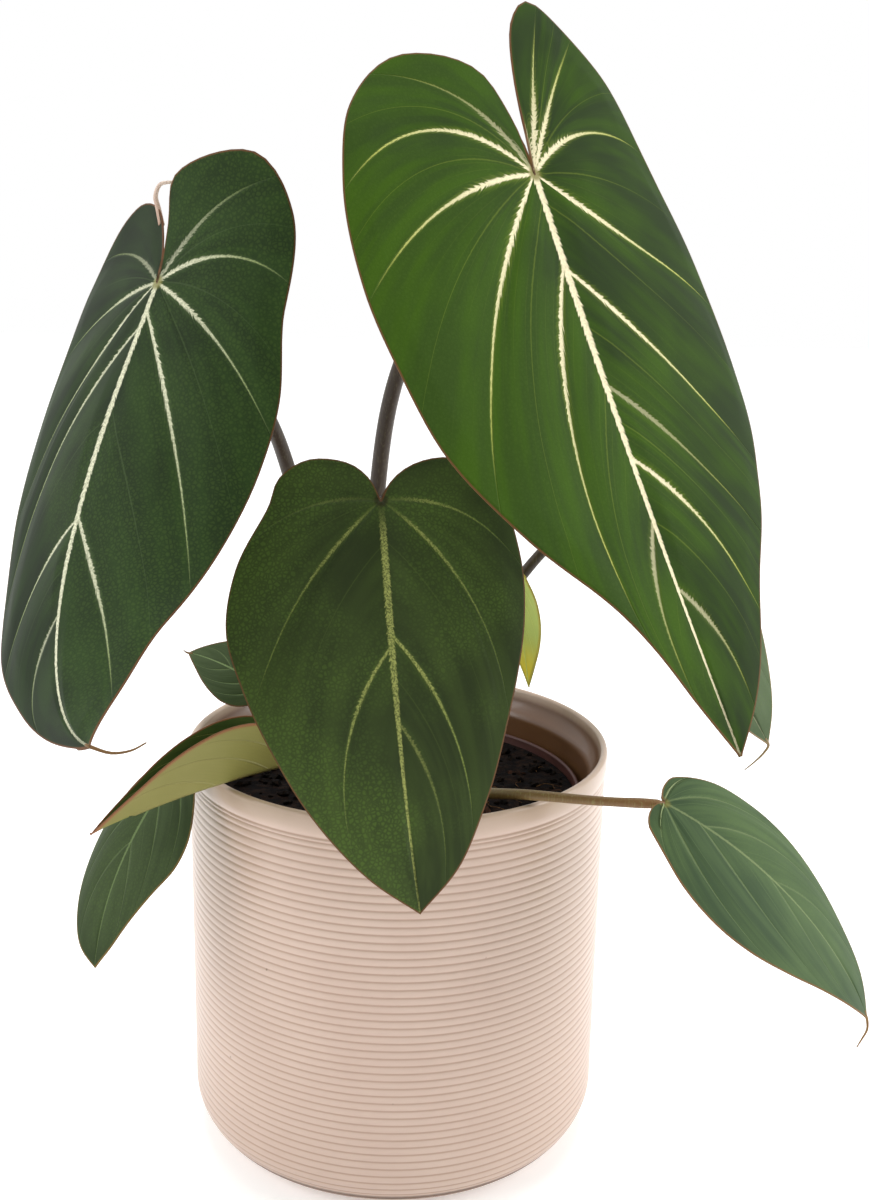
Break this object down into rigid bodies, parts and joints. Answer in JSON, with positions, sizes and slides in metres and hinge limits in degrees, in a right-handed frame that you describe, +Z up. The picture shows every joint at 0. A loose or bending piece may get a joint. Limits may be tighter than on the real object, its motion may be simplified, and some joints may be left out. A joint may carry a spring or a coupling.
{
  "type": "potted philodendron",
  "caption": "Velvet-leaved philodendron with heart-shaped, pale-veined blades on long stalks, in a nursery pot standing inside a ribbed beige ceramic cover pot.",
  "frame": {"origin": "centre of the cover pot's flat foot, on the surface that the pot stands on", "axes": "+Z up along the pot's axis; -Y towards the side that the large blades face; +X to the right seen from there"},
  "size_m": [0.2582, 0.2201, 0.3682],
  "materials": {
    "ribbed_glaze": "pinkish beige glaze, satin on the ribs, glossy at the rim",
    "nursery_plastic": "thin moulded plastic, reddish brown, satin",
    "potting_soil": "dark moist peat and bark, matt",
    "stalk_skin": "purplish brown plant skin, satin",
    "velvet_blade": "dark green velvet leaf with cream veins",
    "young_blade": "olive yellow young leaf, satin"
  },
  "bodies": {
    "root": {"cover_pot": "ribbed_glaze", "nursery_pot": "nursery_plastic", "soil": "potting_soil", "crown": "stalk_skin", "stalk_right_large": "stalk_skin", "stalk_left_large": "stalk_skin", "stalk_front_centre": "stalk_skin", "stalk_right_small": "stalk_skin", "stalk_left_small": "stalk_skin", "stalk_left_folded": "stalk_skin", "stalk_left_back": "stalk_skin", "stalk_back_young": "stalk_skin", "stalk_right_back": "stalk_skin", "blade_right_large": "velvet_blade", "blade_left_large": "velvet_blade", "blade_front_centre": "velvet_blade", "blade_right_small": "velvet_blade", "blade_left_small": "velvet_blade", "blade_left_folded": "young_blade", "blade_left_back": "velvet_blade", "blade_back_young": "young_blade", "blade_right_back": "velvet_blade"}
  },
  "joints": []
}
